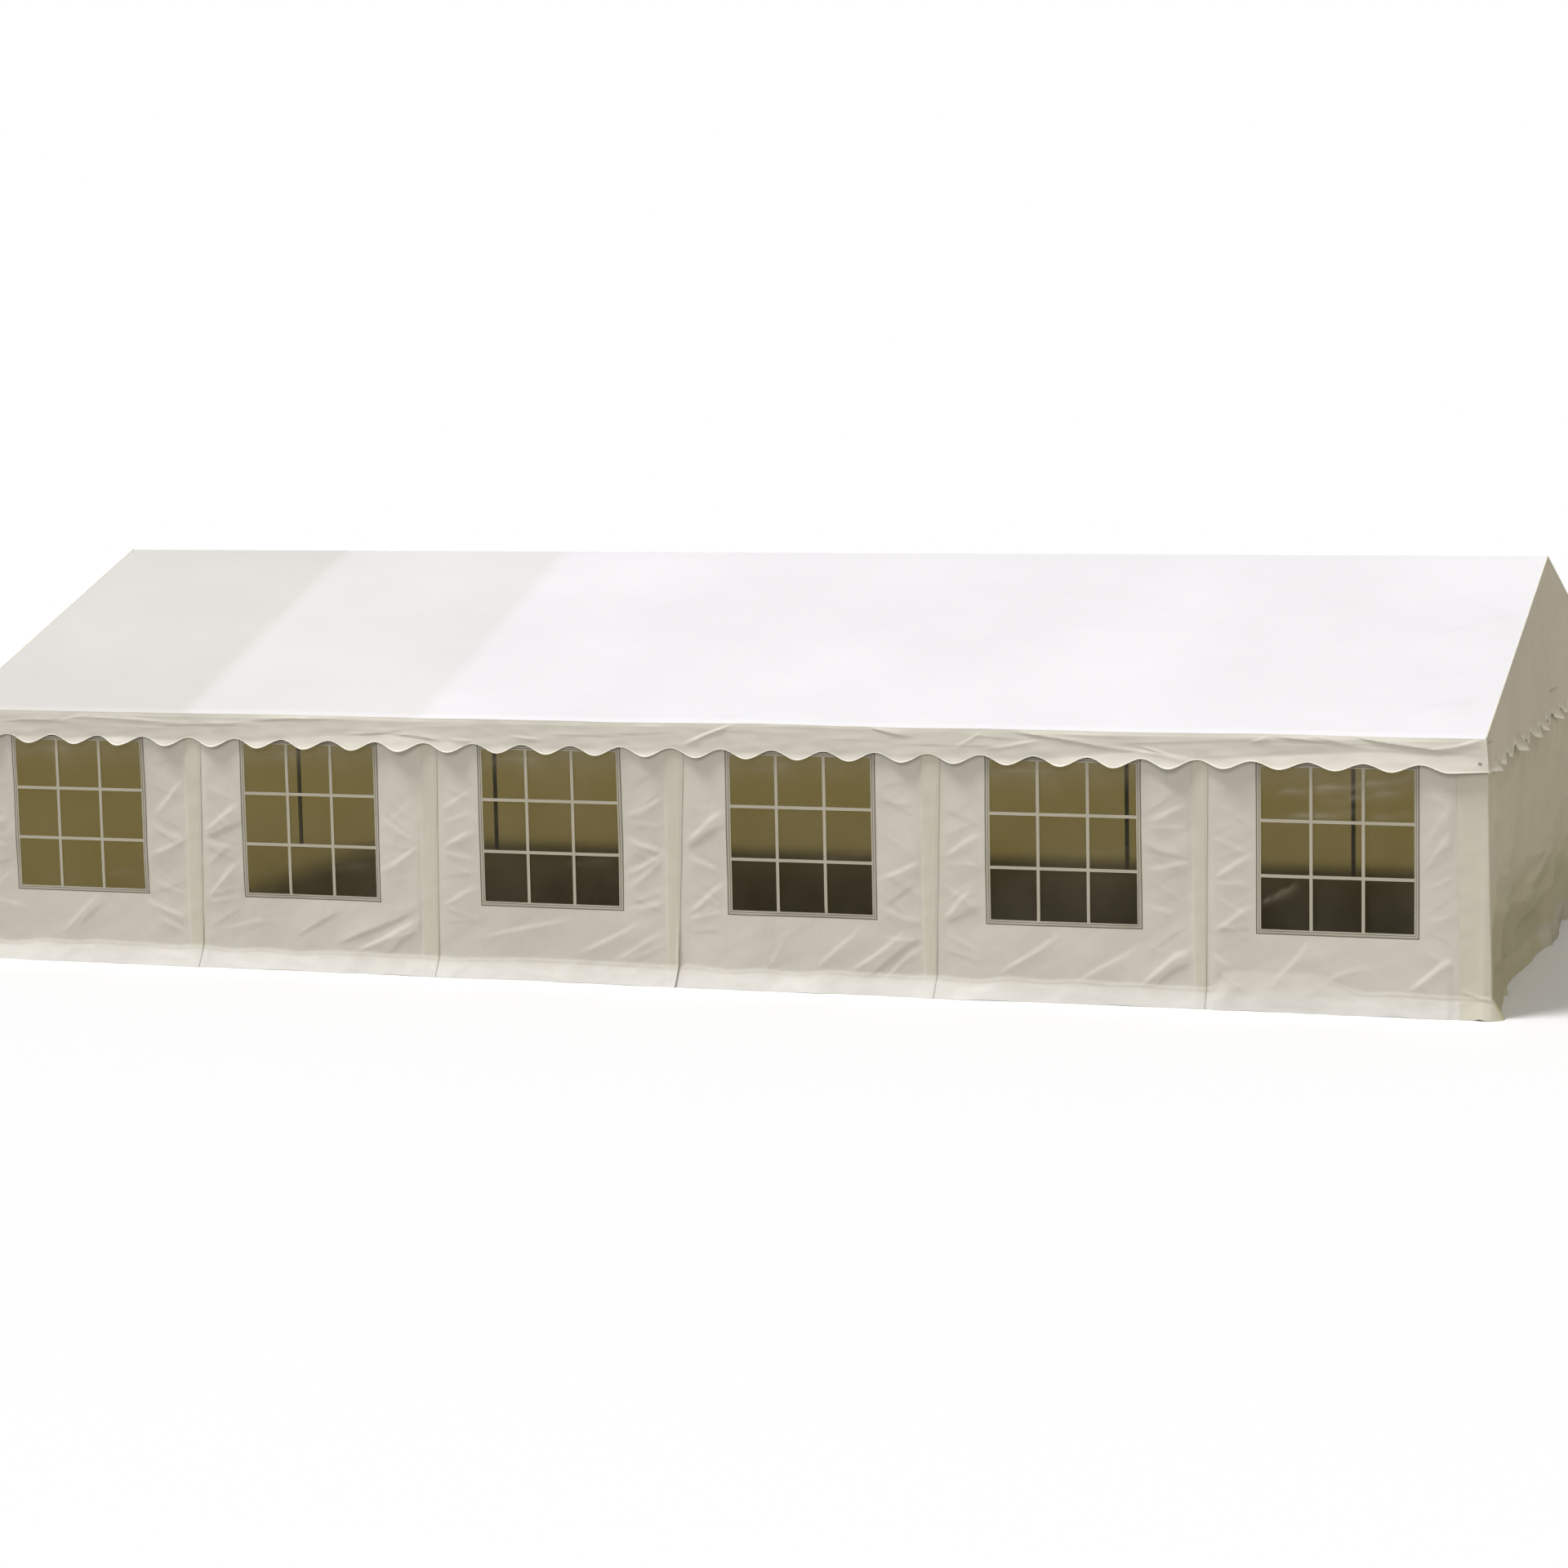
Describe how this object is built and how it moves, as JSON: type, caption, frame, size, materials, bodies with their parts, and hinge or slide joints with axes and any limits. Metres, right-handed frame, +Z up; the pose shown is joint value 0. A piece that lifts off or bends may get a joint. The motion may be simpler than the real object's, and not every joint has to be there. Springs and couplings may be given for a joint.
{
  "type": "marquee tent",
  "caption": "Gabled marquee tent: steel tube frame, scalloped roof sheet, windowed wall along the front, closed right end, open rear and left end.",
  "frame": {"origin": "middle of the ground rectangle that the tent covers, at ground level", "axes": "+X along the length towards the closed end, +Y from the windowed front to the open rear, +Z up"},
  "size_m": [12.166, 6.1, 3.03],
  "materials": {
    "roof_fabric": "coated woven sheet, satin white",
    "wall_fabric": "coated woven sheet, satin ivory",
    "window_film": "clear flexible film, glossy",
    "steel_tube": "galvanised tube, dull grey"
  },
  "bodies": {
    "root": {"leg_front_1": "steel_tube", "leg_front_2": "steel_tube", "leg_front_3": "steel_tube", "leg_front_4": "steel_tube", "leg_front_5": "steel_tube", "leg_front_6": "steel_tube", "leg_front_7": "steel_tube", "leg_rear_1": "steel_tube", "leg_rear_2": "steel_tube", "leg_rear_3": "steel_tube", "leg_rear_4": "steel_tube", "leg_rear_5": "steel_tube", "leg_rear_6": "steel_tube", "leg_rear_7": "steel_tube", "rafter_1": "steel_tube", "rafter_2": "steel_tube", "rafter_3": "steel_tube", "rafter_4": "steel_tube", "rafter_5": "steel_tube", "rafter_6": "steel_tube", "rafter_7": "steel_tube", "ridge_tube": "steel_tube", "purlin_front": "steel_tube", "purlin_rear": "steel_tube", "eave_tube_front": "steel_tube", "eave_tube_rear": "steel_tube", "roof_front": "roof_fabric", "roof_rear": "roof_fabric", "valance_front": "roof_fabric", "valance_rear": "roof_fabric", "gable_left": "roof_fabric", "gable_right": "roof_fabric", "wall_panel_1": "wall_fabric", "wall_panel_2": "wall_fabric", "wall_panel_3": "wall_fabric", "wall_panel_4": "wall_fabric", "wall_panel_5": "wall_fabric", "wall_panel_6": "wall_fabric", "end_wall_front": "wall_fabric", "end_wall_rear": "wall_fabric", "window_film_1": "window_film", "window_film_2": "window_film", "window_film_3": "window_film", "window_film_4": "window_film", "window_film_5": "window_film", "window_film_6": "window_film"}
  },
  "joints": []
}
